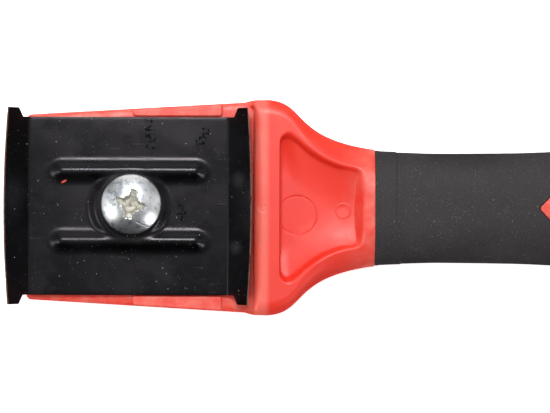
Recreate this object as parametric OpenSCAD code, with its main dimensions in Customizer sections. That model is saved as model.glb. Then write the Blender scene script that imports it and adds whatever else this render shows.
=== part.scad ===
// Floor scraper: a two-edge pull scraper with a moulded handle.
// It lies on its back, so +Z is the scraping side and z = 0 is the surface it lies on.
// +X runs from the front cutting edge to the butt. Everything is drawn from the front
// cutting edge, then moved so that the origin is the middle of the footprint.

/* [Overall] */
// Length from the front cutting edge to the butt
total_len = 245; // [242:1:250]
// Height of the blade's seat
seat_z = 15; // [14:0.5:16]

/* [Blade] */
// Distance between the two cutting edges
blade_span = 79.7; // [79:0.1:80]
// Length of each cutting edge
edge_w = 63.5; // [62:0.5:64]
// Width of the blade between its bends
blade_w = 57.6; // [56.6:0.2:57.8]
// Thickness of the blade's steel
blade_t = 1.6; // [1.4:0.1:1.8]
// Angle of each flange from the blade's plane
flange_angle = 47; // [45:1:50]
// Rise of each flange from the seat to its cutting edge
flange_h = 9.9; // [9:0.1:10.5]
// Radius of each cutting edge in plan
edge_r = 420; // [380:10:600]
// Height of the pressed beads
bead_h = 2; // [1.8:0.1:2.2]
// Width of each long bead
bead_w = 9; // [8.6:0.2:9.4]
// Length of each long bead
bead_len = 52; // [50:1:53]
// Distance of each long bead from the blade's centre line
bead_y = 11.3; // [11:0.1:11.6]
// Diameter of the raised round panel between the long beads
panel_d = 27; // [26:0.5:28]
// Hole through the blade
blade_hole_d = 11; // [10.8:0.1:11.4]
// Sideways offset of the clamped blade
blade_y = 0.4; // [0:0.1:0.4]

/* [Screw, washer and nut] */
// Thread diameter
thread_d = 8; // [8:8]
// Length under the head
screw_len = 20; // [19:0.5:20]
// Diameter of the head
head_d = 19.6; // [18:0.2:20]
// Height of the head
head_h = 4.5; // [4:0.1:5]
// Distance of the screw from the front cutting edge
screw_x = 40.85; // [40:0.05:41]
// Sideways offset of the screw
screw_y = 1; // [0:0.1:1]
// Outer diameter of the lock washer
washer_d = 14.8; // [14:0.1:15]
// Thickness of the lock washer
washer_t = 2; // [1.8:0.1:2]
// Width of the nut across its flats
nut_af = 13; // [13:13]
// Thickness of the nut
nut_t = 6.5; // [6:0.1:6.5]

/* [Handle] */
// Distance of the head's front face from the front cutting edge
head_x = 6.4; // [6.2:0.1:7]
// Half width of the head at its front
head_w0 = 29.9; // [29.4:0.1:30.2]
// Half width of the head at the shoulder
head_w1 = 34.9; // [34.5:0.1:35.2]
// Distance of the shoulder's wall from the front cutting edge
shoulder_x = 80.4; // [80.4:0.1:81]
// Height of the shoulder's ridge
ridge_z = 21.9; // [21:0.1:22.5]
// Distance of the rubber's front rim from the front cutting edge
grip_x0 = 119.5; // [119:0.5:121]
// Distance of the rubber's back rim from the front cutting edge
grip_x1 = 232; // [231:0.5:232]
// Half width of the neck at the rubber's rim
neck_w = 18.9; // [18.5:0.1:19]
// Height of the neck's top
neck_z = 24.3; // [24:0.1:25]
// Height of the neck's back
neck_back_z = 2.6; // [2:0.1:3]
// Depth of the scoop in the shoulder
scoop_depth = 5.4; // [5:0.1:5.8]
// Distance of the diamond's front tip from the front cutting edge
diamond_x = 171.8; // [170:0.2:174]
// Half length of the diamond
diamond_r = 10; // [9:0.5:11]
// Thickness of the butt around the hang hole
butt_t = 16; // [15:0.5:16]
// Diameter of the hang hole
hang_d = 8; // [7:0.5:9]

/* [Hidden] */
sides = 32;
blade_x = blade_span / 2;
blade_top = seat_z + blade_t;
panel_top = blade_top + bead_h;
washer_top = panel_top + washer_t;
nut_top = seat_z - 7.8;
bend_x = (flange_h - blade_t) / tan(flange_angle);
running_gap = 0.05;
thread_r = thread_d / 2;
ledge_gap = 0.4;
pad_gap = 0.4;
slab_w = 34.3;
tang_w = 27;
tang_z = 14;
hang_x = total_len - 7.5;
butt_r = 16;
// Corners of the scoop's plan on one side, from its front to its back
scoop_plan = [[88.7, 20], [91.2, 23], [94.3, 22], [98.8, 18.2], [104.3, 15.6], [111.5, 13.6], [115.5, 11.2]];
// Each row of the grip: distance, half width, back and top
grip_rows = [
    [119.5, 18.5, 2.6, 24.3], [126, 18.2, 2.6, 24.7], [140, 17.8, 2.2, 25.8], [163, 18, 1.2, 27.4],
    [185, 18.9, 0.4, 28.6], [205, 19.7, 0, 29], [220, 19.2, 0.5, 28.2], [232, 17.4, 2.2, 26]
];

function bezier(t, a, b, c, d) =
    pow(1 - t, 3) * a + 3 * t * pow(1 - t, 2) * b + 3 * t * t * (1 - t) * c + t * t * t * d;
function smooth(t) = let (u = min(1, max(0, t))) u * u * (3 - 2 * u);
// One squared oval across the handle, w to each side, from z0 to z1
function oval(x, w, z0, z1, power) = [
    for (i = [0 : sides - 1])
        let (c = cos(360 * i / sides), s = sin(360 * i / sides))
        [
            x,
            w * sign(c) * pow(abs(c), 2 / power),
            (z0 + z1) / 2 + (z1 - z0) / 2 * sign(s) * pow(abs(s), 2 / power)
        ]
];
function rows(k) = [for (r = grip_rows) [r[0], r[k]]];

// A closed solid through a list of ovals
module loft(ovals) {
    last = len(ovals) - 1;
    polyhedron(
        points = [for (o = ovals) for (p = o) p],
        faces = concat(
            [[for (i = [0 : sides - 1]) i]],
            [for (k = [0 : last - 1]) for (i = [0 : sides - 1])
                let (j = (i + 1) % sides)
                [k * sides + i, (k + 1) * sides + i, (k + 1) * sides + j, k * sides + j]],
            [[for (i = [sides - 1 : -1 : 0]) last * sides + i]]
        ),
        convexity = 4
    );
}

// An outline in x and z, drawn right across the tool
module across(width) {
    translate([0, width / 2, 0]) rotate([90, 0, 0]) linear_extrude(width) children();
}

module stadium(length, width) {
    square([length - width, width], center = true);
    for (side = [-1, 1]) translate([side * (length - width) / 2, 0]) circle(d = width, $fn = 48);
}

// The H of the pressed beads in plan, drawn in by inset on every side
module bead_plan(inset) {
    for (side = [-1, 1]) translate([0, side * bead_y])
        stadium(bead_len - 2 * inset, bead_w - 2 * inset);
    circle(d = panel_d - 2 * inset, $fn = 96);
}

module at_blade() {
    translate([blade_x, blade_y, 0]) children();
}

module at_screw() {
    translate([screw_x, screw_y, 0]) children();
}

module in_place() {
    translate([-total_len / 2, 0, 0]) children();
}

// ---- Handle core ----

module head_slab() {
    corner = 1.2;
    bevel = 3;
    back_x = shoulder_x + 2;
    taper = atan((slab_w - head_w0) / (back_x - head_x));
    difference() {
        linear_extrude(seat_z) polygon([
            [head_x, -head_w0 + corner], [head_x + corner, -head_w0], [back_x, -slab_w],
            [back_x, slab_w], [head_x + corner, head_w0], [head_x, head_w0 - corner]
        ]);
        translate([head_x, 0, 0]) rotate([0, 45, 0])
            cube([bevel * sqrt(2), 3 * head_w1, bevel * sqrt(2)], center = true);
        for (side = [-1, 1]) translate([head_x, side * head_w0, 0]) rotate([0, 0, side * taper])
            rotate([45, 0, 0]) cube([2.2 * back_x, bevel * sqrt(2), bevel * sqrt(2)], center = true);
    }
}

module shoulder() {
    function top(x) = ridge_z + (neck_z - ridge_z) * smooth((x - 86) / (grip_x0 - 86));
    function back(x) = neck_back_z * smooth((x - 90) / (grip_x0 - 90));
    function power(x) = 9 - 6.2 * smooth((x - 82) / 26);
    loft(concat(
        [
            oval(shoulder_x, head_w1 - 0.4, 0, ridge_z - 1, 9),
            oval(shoulder_x + 1, head_w1 - 0.1, 0, ridge_z - 0.2, 9)
        ],
        [for (i = [0 : 12])
            let (
                x = bezier(i / 12, 83, 98.5, 90.5, grip_x0),
                w = bezier(i / 12, head_w1, head_w1, 22.75, neck_w)
            )
            oval(x, w, back(x), top(x), power(x))]
    ));
}

module scoop() {
    floor_r = 40;
    floor_x = 101;
    intersection() {
        linear_extrude(40) polygon(concat(
            [for (p = scoop_plan) [p[0], -p[1]]],
            [for (i = [len(scoop_plan) - 1 : -1 : 0]) scoop_plan[i]]
        ));
        translate([floor_x, 0, ridge_z - scoop_depth + floor_r])
            across(60) circle(r = floor_r, $fn = 96);
    }
}

// Low ledges on each side that keep the blade straight
module ledges() {
    from_x = 41;
    to_x = 70;
    ledge_h = 1;
    inset = 0.4;
    slope = (slab_w - head_w0) / (shoulder_x + 2 - head_x);
    function edge(x) = head_w0 - inset + slope * (x - head_x);
    for (side = [-1, 1]) {
        inner = side * (blade_w / 2 + ledge_gap) + blade_y;
        translate([0, 0, seat_z]) linear_extrude(ledge_h) polygon([
            [from_x, inner], [to_x, inner], [to_x, side * edge(to_x)], [from_x, side * edge(from_x)]
        ]);
    }
}

// Raised H that fits into the hollow side of the blade's beads
module key_pad() {
    translate([0, 0, seat_z]) at_blade() linear_extrude(bead_h - pad_gap) bead_plan(blade_t + 1);
}

module tang() {
    translate([grip_x0, -tang_w / 2, tang_z - butt_t / 2]) cube([grip_x1 - grip_x0, tang_w, butt_t]);
}

module butt() {
    translate([0, 0, tang_z - butt_t / 2]) linear_extrude(butt_t) intersection() {
        translate([total_len - butt_r, 0]) circle(r = butt_r, $fn = 96);
        translate([grip_x1, -butt_r]) square([butt_r, 2 * butt_r]);
    }
}

module diamond() {
    translate([diamond_x + diamond_r, 0, tang_z]) linear_extrude(20)
        polygon([[-diamond_r, 0], [0, -diamond_r - 0.4], [diamond_r, 0], [0, diamond_r + 0.4]]);
}

module handle_core() {
    color("tomato") in_place() difference() {
        union() {
            head_slab();
            shoulder();
            ledges();
            key_pad();
            tang();
            butt();
            intersection() {
                diamond();
                grip_form();
            }
        }
        scoop();
        at_screw() cylinder(d = thread_d + 1, h = 40, $fn = 64);
        at_screw() translate([0, 0, -1])
            cylinder(d = (nut_af + 0.3) / cos(30), h = nut_top + 1, $fn = 6);
        translate([hang_x, 0, 0]) cylinder(d = hang_d, h = 40, $fn = 64);
    }
}

// ---- Grip ----

module grip_form() {
    count = 22;
    loft([for (i = [0 : count])
        let (x = grip_x0 + (grip_x1 - grip_x0) * i / count)
        oval(x, lookup(x, rows(1)), lookup(x, rows(2)), lookup(x, rows(3)), 2.7)]);
}

module grip() {
    color([0.2, 0.2, 0.2]) in_place() difference() {
        grip_form();
        tang();
        diamond();
    }
}

// ---- Blade ----

// One upturned end of the blade, ground to a sharp edge on its outer side
module flange() {
    ground = 2.4;
    heel_x = bend_x - blade_t * tan(flange_angle / 2);
    tip_z = seat_z + flange_h;
    across(edge_w) polygon([
        [0, tip_z], [bend_x, blade_top], [bend_x + 3, blade_top], [bend_x + 3, seat_z], [heel_x, seat_z],
        [
            ground * cos(flange_angle) - blade_t * sin(flange_angle),
            tip_z - ground * sin(flange_angle) - blade_t * cos(flange_angle)
        ]
    ]);
}

module blade_profile() {
    for (turn = [0, 180]) translate([blade_x, 0, 0]) rotate([0, 0, turn])
        translate([-blade_x, 0, 0]) flange();
    across(edge_w) translate([bend_x + 2, seat_z])
        square([blade_span - 2 * bend_x - 4, blade_t]);
}

// Plan of the blade: curved cutting edges, with ears wider than the middle
module blade_plan() {
    neck = 5.65;
    wide = 4.7;
    half = blade_span / 2;
    intersection() {
        union() {
            square([blade_span - 2 * neck, blade_w], center = true);
            for (side = [-1, 1]) polygon([
                [side * half, edge_w / 2], [side * half, -edge_w / 2],
                [side * (half - wide), -edge_w / 2], [side * (half - neck), -blade_w / 2],
                [side * (half - neck), blade_w / 2], [side * (half - wide), edge_w / 2]
            ]);
        }
        translate([edge_r - half, 0]) circle(r = edge_r, $fn = 360);
        translate([half - edge_r, 0]) circle(r = edge_r, $fn = 360);
    }
}

module blade() {
    color([0.16, 0.16, 0.17]) in_place() translate([0, blade_y, 0]) difference() {
        union() {
            intersection() {
                blade_profile();
                translate([blade_x, 0, 0]) linear_extrude(40) blade_plan();
            }
            translate([blade_x, 0, seat_z + blade_t / 2])
                linear_extrude(bead_h + blade_t / 2) bead_plan(0);
        }
        translate([blade_x, 0, seat_z - 1]) linear_extrude(bead_h + 1) bead_plan(blade_t);
        translate([blade_x, 0, 0]) cylinder(d = blade_hole_d, h = 40, $fn = 64);
    }
}

// ---- Screw, washer and nut ----

module lock_washer() {
    inner_r = thread_r + 0.3;
    split = 1.4;
    color("silver") in_place() at_screw() translate([0, 0, panel_top]) difference() {
        cylinder(d = washer_d, h = washer_t, $fn = 64);
        translate([0, 0, -1]) cylinder(r = inner_r, h = washer_t + 2, $fn = 64);
        rotate([0, 0, 200]) translate([0, -split / 2, -1]) cube([washer_d, split, washer_t + 2]);
    }
}

module blade_screw() {
    rim = 0.9;
    dome_h = head_h - rim;
    dome_r = (head_d * head_d / 4 + dome_h * dome_h) / (2 * dome_h);
    shank_r = thread_r - running_gap;
    recess_w = 2.2;
    recess_len = 10;
    recess_depth = 2.6;
    point = 1;
    turned = 14;
    color("gainsboro") in_place() at_screw() translate([0, 0, washer_top]) difference() {
        union() {
            intersection() {
                cylinder(d = head_d, h = head_h, $fn = 96);
                translate([0, 0, head_h - dome_r]) sphere(r = dome_r, $fn = 96);
            }
            translate([0, 0, point - screw_len]) cylinder(r = shank_r, h = screw_len, $fn = 64);
            translate([0, 0, -screw_len]) cylinder(r1 = shank_r - point, r2 = shank_r, h = point, $fn = 64);
        }
        rotate([0, 0, -turned]) for (turn = [0, 90]) rotate([0, 0, turn])
            translate([-recess_len / 2, -recess_w / 2, head_h - recess_depth])
                cube([recess_len, recess_w, head_h]);
    }
}

module hex_nut() {
    color("silver") in_place() at_screw() translate([0, 0, nut_top - nut_t]) difference() {
        cylinder(d = nut_af / cos(30), h = nut_t, $fn = 6);
        translate([0, 0, -1]) cylinder(r = thread_r, h = nut_t + 2, $fn = 64);
    }
}

handle_core();
grip();
hex_nut();
blade();
lock_washer();
blade_screw();
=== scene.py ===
import math

import bpy
import numpy as np
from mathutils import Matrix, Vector


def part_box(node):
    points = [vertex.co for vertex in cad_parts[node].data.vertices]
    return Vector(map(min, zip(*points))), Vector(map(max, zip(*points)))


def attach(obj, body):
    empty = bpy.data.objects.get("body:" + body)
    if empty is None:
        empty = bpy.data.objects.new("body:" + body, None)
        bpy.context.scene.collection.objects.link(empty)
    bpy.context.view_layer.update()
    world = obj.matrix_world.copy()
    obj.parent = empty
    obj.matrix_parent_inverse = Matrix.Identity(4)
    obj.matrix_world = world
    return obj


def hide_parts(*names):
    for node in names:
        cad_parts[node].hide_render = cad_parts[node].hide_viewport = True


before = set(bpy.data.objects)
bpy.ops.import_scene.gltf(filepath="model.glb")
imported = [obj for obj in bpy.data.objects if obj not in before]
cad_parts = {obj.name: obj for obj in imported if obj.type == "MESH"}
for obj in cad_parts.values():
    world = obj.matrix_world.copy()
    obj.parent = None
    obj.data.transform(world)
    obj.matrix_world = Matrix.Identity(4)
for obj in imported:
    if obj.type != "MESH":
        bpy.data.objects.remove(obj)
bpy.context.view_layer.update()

# Lengths are millimetres, with x from the front cutting edge, y across and z up, unless a comment
# says otherwise. make() turns them into the frame's metres, which the materials work in.

# ---- Sizes ----

BLADE_LO, BLADE_HI = (np.array(c) * 1000 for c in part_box("blade"))
CORE_LO, CORE_HI = (np.array(c) * 1000 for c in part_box("handle_core"))
SCREW_LO, SCREW_HI = (np.array(c) * 1000 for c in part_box("blade_screw"))
GRIP_LO, GRIP_HI = (np.array(c) * 1000 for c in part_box("grip"))
NUT_LO, NUT_HI = (np.array(c) * 1000 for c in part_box("hex_nut"))
WASHER_LO, WASHER_HI = (np.array(c) * 1000 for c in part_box("lock_washer"))

# the blade
X0 = BLADE_LO[0]  # where the design's x = 0 lies in the frame
BLADE_SPAN = BLADE_HI[0] - BLADE_LO[0]
BLADE_X = BLADE_SPAN / 2
BLADE_Y = (BLADE_LO[1] + BLADE_HI[1]) / 2
EDGE_HALF = (BLADE_HI[1] - BLADE_LO[1]) / 2
BODY_HALF = 28.8
SEAT_Z = BLADE_LO[2]
TIP_Z = BLADE_HI[2]
BLADE_T = 1.6
EDGE_R = 420.0  # the curve of a cutting edge, seen from above
FLANGE = math.radians(47)
BEND_R = 1.4
GROUND = 2.4  # how far the ground bevel reaches down a flange
GROUND_ROWS = 7
TIP_T = 0.12
EAR_FROM = 4.15  # where the blade starts to narrow behind its edge, and where it has narrowed
EAR_TO = 5.65

# the blade's pressed H
BEAD_H = 2.0
BEAD_Y = 11.3
BEAD_HALF_W = 5.0
BEAD_HALF_LEN = 26.2
BEAD_END = 6.3
PANEL_R = 14.2
PANEL_EDGE = 4.3

# the screw, washer and nut
SCREW_X = (SCREW_LO[0] + SCREW_HI[0]) / 2 - X0
SCREW_Y = (SCREW_LO[1] + SCREW_HI[1]) / 2
HEAD_R = (SCREW_HI[0] - SCREW_LO[0]) / 2
HEAD_TOP = SCREW_HI[2]
HEAD_Z = WASHER_HI[2]
RIM_H = 0.9
DOME_H = HEAD_TOP - HEAD_Z - RIM_H
DOME_R = (HEAD_R**2 + DOME_H**2) / (2 * DOME_H)
SHANK_END = SCREW_LO[2]
THREAD_R = 4.0
PITCH = 1.25
BORE_R = 4.5
NUT_ACROSS = 13.0

# the red core
HEAD_X = CORE_LO[0] - X0
BUTT_X = CORE_HI[0] - X0
SHOULDER_HALF = CORE_HI[1]
FRONT_HALF = 29.95
RAIL_HALF = 34.1
RAIL_X = 77.5
LEDGE_GAP = 0.4
SHOULDER_X = 80.4
SHOULDER_TURN_X = 83
RIDGE_Z = 21.9
NECK_HALF = 18.9
NECK_Z = 24.3
NECK_BACK = 2.6
SCOOP_FRONT, SCOOP_BACK = 88.75, 115.7
SCOOP_TURN_X, SCOOP_HALF = 91.2, 23.9
PIN_X, PIN_Y, PIN_R = 94.3, -2.4, 6.1
MARK_X, MARK_Y, MARK_R = 109.2, -1.0, 2.2
GATE_X, GATE_Y, GATE_R = 83.4, -0.2, 1.5
TANG_HALF = 13.5
TANG_Z = 14.0
BUTT_HALF_T = 8.0
BUTT_R = 16.0
HANG_X = BUTT_X - 7.5
HANG_R = 4.0
DIAMOND_X = 171.8
DIAMOND_R = 10.0

# the grip, whose rows hold: distance, half width, back and top
GRIP_X0 = GRIP_LO[0] - X0
GRIP_X1 = GRIP_HI[0] - X0
GRIP_ROWS = np.array([
    [119.5, 18.5, 2.6, 24.3], [126, 18.2, 2.6, 24.7], [140, 17.8, 2.2, 25.8], [163, 18, 1.2, 27.4],
    [185, 18.9, 0.4, 28.6], [205, 19.7, 0, 29], [220, 19.2, 0.5, 28.2], [232, 17.4, 2.2, 26],
])
GRIP_POWER = 2.7  # how square the grip's section is: 2 is an ellipse

MAX_TRIANGLES = 190000


# ---- Fields: negative inside a shape, positive outside ----

def smooth(t):
    """0 below 0 and 1 above 1, with an even S between them."""
    t = np.clip(t, 0, 1)
    return t * t * (3 - 2 * t)


def both(a, b, r):
    """What is inside both shapes, with an outer edge of radius r."""
    u, v = a + r, b + r
    return np.minimum(np.maximum(u, v), 0) + np.hypot(np.maximum(u, 0), np.maximum(v, 0)) - r


def either(a, b, r):
    """What is inside either shape, with an inner fillet of radius r."""
    return -both(-a, -b, r)


def without(a, b, r):
    """Shape a with shape b cut out, and the rim of the cut rounded by r."""
    return both(a, -b, r)


def corner(a, c, ra, rc):
    """Sides a and ends c, joined by a quarter of an ellipse."""
    u, v = a / ra + 1, c / rc + 1
    bent = np.hypot(np.maximum(u, 0), np.maximum(v, 0)) + np.minimum(np.maximum(u, v), 0)
    return (bent - 1) * np.minimum(ra, rc)


def slab(v, low, high):
    """What lies between low and high."""
    return np.maximum(low - v, v - high)


def bezier(t, a, b, c, d):
    """A cubic curve from a to d, pulled towards b and c."""
    return (1 - t) ** 3 * a + 3 * t * (1 - t) ** 2 * b + 3 * t * t * (1 - t) * c + t**3 * d


def spline(x, xs, ys):
    """A smooth curve through the points, with no overshoot."""
    xs, ys = np.asarray(xs, float), np.asarray(ys, float)
    step = np.diff(ys) / np.diff(xs)
    slope = np.zeros(len(xs))
    inner = step[:-1] * step[1:] > 0
    before, after = step[:-1][inner], step[1:][inner]
    slope[1:-1][inner] = 2 * before * after / (before + after)
    slope[0], slope[-1] = step[0], step[-1]
    x = np.clip(x, xs[0], xs[-1])
    k = np.clip(np.searchsorted(xs, x) - 1, 0, len(xs) - 2)
    h = xs[k + 1] - xs[k]
    t = (x - xs[k]) / h
    return (
        ys[k] * (1 + 2 * t) * (1 - t) ** 2 + slope[k] * h * t * (1 - t) ** 2
        + ys[k + 1] * t * t * (3 - 2 * t) + slope[k + 1] * h * t * t * (t - 1)
    )


def thread(x, y, z, r, depth):
    """A right-hand thread about the screw's axis, whose crests reach r."""
    turn = np.arctan2(y - SCREW_Y, x - SCREW_X) / (2 * math.pi)
    phase = (z / PITCH - turn) % 1
    wave = np.abs(2 * phase - 1)
    return np.hypot(x - SCREW_X, y - SCREW_Y) - (r - depth * np.clip(1.25 * wave - 0.1, 0, 1))


# ---- Mesher ----

def spans(*parts):
    """Grid lines through spans of (start, end, step)."""
    lines = [np.linspace(a, b, max(1, round((b - a) / step)), endpoint=False) for a, b, step in parts]
    return np.concatenate(lines + [[parts[-1][1]]])


def sample(field, xs, ys, zs):
    """The field at every grid point, a few x lines at a time."""
    y, z = ys[None, :, None], zs[None, None, :]
    shape = (len(xs), len(ys), len(zs))
    out = np.empty(shape, np.float32)
    for i in range(0, len(xs), 32):
        x = xs[i:i + 32, None, None]
        out[i:i + 32] = field(x, y, z)
    return out


def gradient(field, points, e=0.01):
    """The field's slope at each point, over a reach of e."""
    x, y, z = points.T
    return np.stack([
        field(x + e, y, z) - field(x - e, y, z),
        field(x, y + e, z) - field(x, y - e, z),
        field(x, y, z + e) - field(x, y, z - e),
    ], 1) / (2 * e)


def project(field, points, passes=3, reach=0.2):
    """Moves points onto the field's surface."""
    for _ in range(passes):
        g = gradient(field, points)
        move = -field(*points.T)[:, None] * g / np.maximum((g * g).sum(1), 0.05)[:, None]
        length = np.linalg.norm(move, axis=1, keepdims=True)
        points = points + move * np.minimum(1, reach / np.maximum(length, 1e-9))
    return points


def crossings(grid, lines, axis):
    """Where the field changes sign along one axis: cells, points, and whether the inside is first."""
    inside = grid < 0
    low, high = [slice(None)] * 3, [slice(None)] * 3
    low[axis], high[axis] = slice(0, -1), slice(1, None)
    at = np.argwhere(inside[tuple(low)] != inside[tuple(high)])
    for k in range(3):
        if k != axis:
            at = at[(at[:, k] > 0) & (at[:, k] < grid.shape[k] - 1)]
    after = at.copy()
    after[:, axis] += 1
    first, second = grid[tuple(at.T)], grid[tuple(after.T)]
    point = np.stack([lines[k][at[:, k]] for k in range(3)], 1).astype(float)
    step = lines[axis][after[:, axis]] - lines[axis][at[:, axis]]
    point[:, axis] += first / (first - second) * step
    return at, point, first < 0


def number_cells(inside):
    """A running number for each grid cell that the surface passes through, and -1 for the others."""
    cells = tuple(n - 1 for n in inside.shape)
    count = np.zeros(cells, np.int8)
    for i in (0, 1):
        for j in (0, 1):
            for k in (0, 1):
                count += inside[i:i + cells[0], j:j + cells[1], k:k + cells[2]]
    active = (count > 0) & (count < 8)
    index = np.full(cells, -1, np.int64)
    index[active] = np.arange(active.sum())
    return index, int(active.sum())


def surface(field, xs, ys, zs):
    """Points and quads of the field's surface, by surface nets on a grid of uneven spacing."""
    grid = sample(field, xs, ys, zs)
    index, size = number_cells(grid < 0)
    total, hits = np.zeros((size, 3)), np.zeros(size)
    quads = []
    for axis in range(3):
        at, point, inside_first = crossings(grid, (xs, ys, zs), axis)
        p, q = [k for k in range(3) if k != axis]
        ring = []
        for dp, dq in ((-1, -1), (0, -1), (0, 0), (-1, 0)):
            cell = at.copy()
            cell[:, p] += dp
            cell[:, q] += dq
            ids = index[tuple(cell.T)]
            ring.append(ids)
            np.add.at(total, ids, point)
            np.add.at(hits, ids, 1)
        ring = np.stack(ring, 1)
        turned = ~inside_first if axis != 1 else inside_first
        ring[turned] = ring[turned][:, ::-1]
        quads.append(ring)
    return total / np.maximum(hits, 1)[:, None], np.concatenate(quads)


def make(name, points, faces, body, node, materials, part=None):
    """A piece from points in millimetres and faces of four corners. part gives each face's material."""
    mesh = bpy.data.meshes.new(name)
    place = (points + [X0, 0, 0]) / 1000
    mesh.vertices.add(len(place))
    mesh.vertices.foreach_set("co", place.astype(np.float32).ravel())
    mesh.loops.add(faces.size)
    mesh.loops.foreach_set("vertex_index", faces.astype(np.int32).ravel())
    mesh.polygons.add(len(faces))
    mesh.polygons.foreach_set("loop_start", np.arange(0, faces.size, 4, dtype=np.int32))
    mesh.polygons.foreach_set("use_smooth", np.ones(len(faces), bool))
    if part is not None:
        mesh.polygons.foreach_set("material_index", part.astype(np.int32))
    mesh.update(calc_edges=True)
    mesh.validate()
    for material in materials:
        mesh.materials.append(material)
    piece = bpy.data.objects.new(name, mesh)
    bpy.context.scene.collection.objects.link(piece)
    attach(piece, body)
    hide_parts(node)
    return piece


def solid(name, field, xs, ys, zs, body, node, material):
    """A piece whose skin is the field's surface, with at most MAX_TRIANGLES triangles."""
    points, quads = surface(field, xs, ys, zs)
    piece = make(name, project(field, points), quads, body, node, [material])
    triangles = 2 * len(quads)
    if triangles > MAX_TRIANGLES:
        thin = piece.modifiers.new("thin", "DECIMATE")
        thin.ratio = MAX_TRIANGLES / triangles
        bpy.context.view_layer.objects.active = piece
        bpy.ops.object.modifier_apply(modifier=thin.name)
        set_points(piece.data, project(field, get_points(piece.data)))
    bend_light(piece.data, field)
    return piece


def get_points(mesh):
    """The mesh's points in millimetres."""
    co = np.empty(len(mesh.vertices) * 3, np.float32)
    mesh.vertices.foreach_get("co", co)
    return co.reshape(-1, 3).astype(float) * 1000 - [X0, 0, 0]


def set_points(mesh, points):
    mesh.vertices.foreach_set("co", ((points + [X0, 0, 0]) / 1000).astype(np.float32).ravel())
    mesh.update()


def bend_light(mesh, field):
    """Shades the mesh by the field's own slope, so that flat and round parts both look true."""
    normals = gradient(field, get_points(mesh), 0.04)
    normals /= np.maximum(np.linalg.norm(normals, axis=1, keepdims=True), 1e-9)
    mesh.normals_split_custom_set_from_vertices(normals.tolist())


# ---- Handle core ----

SHOULDER_T = np.linspace(0, 1, 60)
SHOULDER_XS = bezier(SHOULDER_T, SHOULDER_TURN_X, 98.5, 90.5, GRIP_X0)
SHOULDER_WS = bezier(SHOULDER_T, SHOULDER_HALF, SHOULDER_HALF, 22.75, NECK_HALF)
RAIL_SLOPE = (RAIL_HALF - FRONT_HALF) / (RAIL_X - HEAD_X)


def half_width(x):
    """Half the width of the head, shoulder and neck."""
    rail = FRONT_HALF + RAIL_SLOPE * (x - HEAD_X)
    step = np.clip((x - RAIL_X) / 4.3, 0, 1)
    rise = RAIL_HALF + (SHOULDER_HALF - RAIL_HALF) * np.sin(step * math.pi / 2)
    turn = np.interp(x, SHOULDER_XS, SHOULDER_WS)
    return np.where(x < RAIL_X, rail, np.where(x < SHOULDER_TURN_X, rise, turn))


def top_height(x):
    """The height of the shoulder and neck along their middle."""
    return RIDGE_Z + (NECK_Z - RIDGE_Z) * smooth((x - 86) / (GRIP_X0 - 86))


def scoop_outline(x):
    """Half the width of the scoop at its rim."""
    t = np.linspace(0, 1, 50)
    xs = bezier(t, SCOOP_TURN_X, 95, 98, 113.6)
    ws = bezier(t, SCOOP_HALF, SCOOP_HALF, 14.8, 13.3)
    front = SCOOP_HALF - 0.06 * np.clip(SCOOP_TURN_X - x, 0, 9) ** 2
    return np.where(x < SCOOP_TURN_X, front, np.interp(x, xs, ws))


def scoop_floor(x, y, slant):
    """The scoop's floor: concave, with the mark of an ejector pin and a small ring."""
    inner = np.clip((scoop_outline(x) - np.abs(y)) * slant / 13, 0, 1)
    floor = top_height(x) - 2.3 - 3.0 * (1 - (1 - inner) ** 2.2)
    pin = np.hypot(x - PIN_X, y - PIN_Y) - PIN_R
    floor = floor + 0.18 * smooth(pin / 0.25) - 0.16 * np.exp(-((pin - 0.2) / 0.18) ** 2)
    mark = np.hypot(x - MARK_X, y - MARK_Y) - MARK_R
    return floor + 0.14 * np.exp(-(mark / 0.22) ** 2)


def scoop(x, y, z):
    """The thumb scoop in the shoulder, with a straight front wall and leaning sides."""
    deep = np.clip(top_height(x) - z, -2, 6)
    slant = 1 / np.sqrt(1 + 0.55 * smooth((x - 90) / 4) * smooth((112 - x) / 4))
    side = (np.abs(y) - scoop_outline(x)) * slant + 0.5 * deep
    back = x - SCOOP_BACK + 0.55 * deep
    plan = both(both(side, back, 2.2), SCOOP_FRONT - x, 2.4)
    return both(plan, scoop_floor(x, y, slant) - z, 0.35)


def hexagon(x, y, across, r=0.2):
    """A hexagon about the screw's axis, with its corners along x."""
    u, v = x - SCREW_X, y - SCREW_Y
    turns = (0, math.pi / 3, -math.pi / 3)
    sides = [np.abs(u * math.sin(a) + v * math.cos(a)) - across / 2 for a in turns]
    return both(both(sides[0], sides[1], r), sides[2], r)


def ramp_up(u, foot=0.6, crest=0.32):
    """A pressed edge's height from 0 at u = 0 to 1 at u = 1, with a wide foot and a rounded crest."""
    w, v = np.clip(u / foot, 0, 1), np.clip((u - 1 + crest) / crest, 0, 1)
    straight = np.clip(u - foot, 0, 1 - foot - crest)
    height = foot * (w**3 - w**4 / 2) + straight + crest * (v - v**3 + v**4 / 2)
    return height / (1 - (foot + crest) / 2)


def rib_distance(x, y):
    """The distance from the nearer rib's middle line, shortened past its ends, which slope gently."""
    past_end = np.maximum(np.abs(x - BLADE_X) - (BEAD_HALF_LEN - BEAD_HALF_W), 0)
    return np.hypot(past_end * BEAD_HALF_W / BEAD_END, np.abs(y - BLADE_Y) - BEAD_Y)


def panel_distance(x, y):
    """The distance outside the round panel between the ribs."""
    return np.hypot(x - BLADE_X, y - BLADE_Y) - PANEL_R


def bead_share(x, y):
    """The pressed H of the blade, from 0 on the flat to 1 on top: two long ribs and a round panel."""
    rib = ramp_up(1 - rib_distance(x, y) / BEAD_HALF_W)
    panel = ramp_up(-panel_distance(x, y) / PANEL_EDGE, 0.45, 0.35)
    return 1 - (1 - rib) * (1 - panel)


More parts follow.
